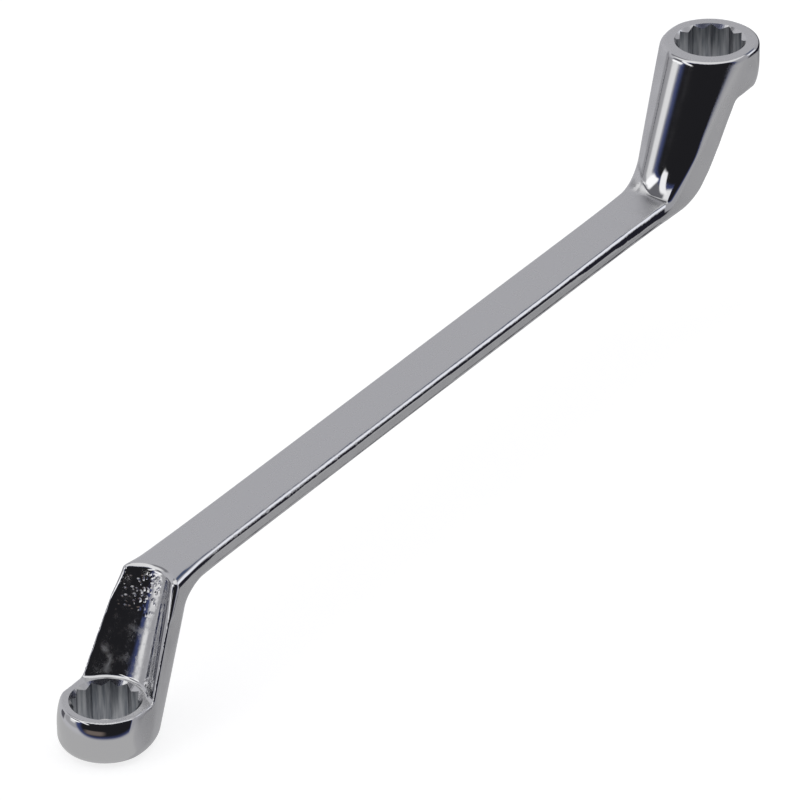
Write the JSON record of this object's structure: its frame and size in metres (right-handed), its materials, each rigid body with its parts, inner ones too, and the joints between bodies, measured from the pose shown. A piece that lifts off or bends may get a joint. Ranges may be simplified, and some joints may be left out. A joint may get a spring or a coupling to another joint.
{
  "type": "swan neck ring spanner",
  "caption": "Chrome-plated offset ring spanner with a flat shank, a smaller ring dropped below one end and a larger ring raised above the other, for turning hexagon nuts and bolts.",
  "frame": {"origin": "middle of the overall length and width, level with the small ring's lower face", "axes": "+X along the shank towards the large ring, +Y across the shank, +Z along both bore axes, towards the raised large ring"},
  "size_m": [0.1988, 0.0176, 0.0472],
  "materials": {
    "mirror_chrome": "polished chrome plate",
    "satin_chrome": "satin chrome plate over ground steel"
  },
  "bodies": {
    "root": {"small_ring": "mirror_chrome", "small_neck": "mirror_chrome", "shank": "satin_chrome", "large_neck": "mirror_chrome", "large_ring": "mirror_chrome"}
  },
  "joints": []
}
